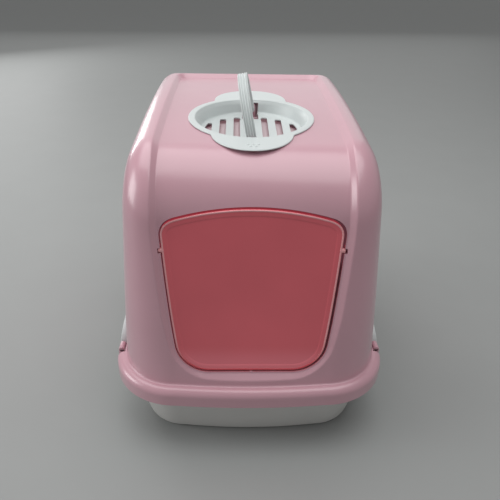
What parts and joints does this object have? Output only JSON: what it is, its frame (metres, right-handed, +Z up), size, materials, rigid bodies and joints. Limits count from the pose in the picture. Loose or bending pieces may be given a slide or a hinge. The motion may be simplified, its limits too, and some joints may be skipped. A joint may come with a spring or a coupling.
{
  "type": "hooded cat litter box",
  "caption": "Cat litter box: open tray under a lift-off hood with a swing door, a slotted vent insert with a folding carry handle, and side clips.",
  "frame": {"origin": "on the floor under the middle of the box", "axes": "+Z up, +Y towards the back, the door faces -Y, +X to the right seen from the door"},
  "size_m": [0.4, 0.52, 0.4838],
  "materials": {
    "tray_white": "satin moulded plastic",
    "hood_pink": "glossy moulded plastic",
    "door_smoked": "dark translucent plastic",
    "insert_white": "satin moulded plastic",
    "handle_white": "satin moulded plastic",
    "clip_white": "satin moulded plastic"
  },
  "bodies": {
    "box": {"litter_tray": "tray_white", "hood": "hood_pink", "vent_insert": "insert_white"},
    "door": {"swing_door": "door_smoked"},
    "handle": {"carry_handle": "handle_white"},
    "left_clip": {"side_clip_left": "clip_white"},
    "right_clip": {"side_clip_right": "clip_white"}
  },
  "joints": [
    {"name": "door_swing", "type": "hinge", "parent": "box", "child": "door", "pos_m": [-0.001, -0.20235, 0.30082], "axis": [1, 0, 0], "range_deg": [-75, 75]},
    {"name": "handle_fold", "type": "hinge", "parent": "box", "child": "handle", "pos_m": [0, -0.02248, 0.41116], "axis": [0, 0.9988, 0.0497], "range_deg": [-73, 95]},
    {"name": "left_clip_open", "type": "hinge", "parent": "box", "child": "left_clip", "pos_m": [-0.1945, -0.092, 0.0975], "axis": [0, -1, 0], "range_deg": [0, 105]},
    {"name": "right_clip_open", "type": "hinge", "parent": "box", "child": "right_clip", "pos_m": [0.1945, -0.092, 0.0975], "axis": [0, 1, 0], "range_deg": [0, 105]}
  ]
}
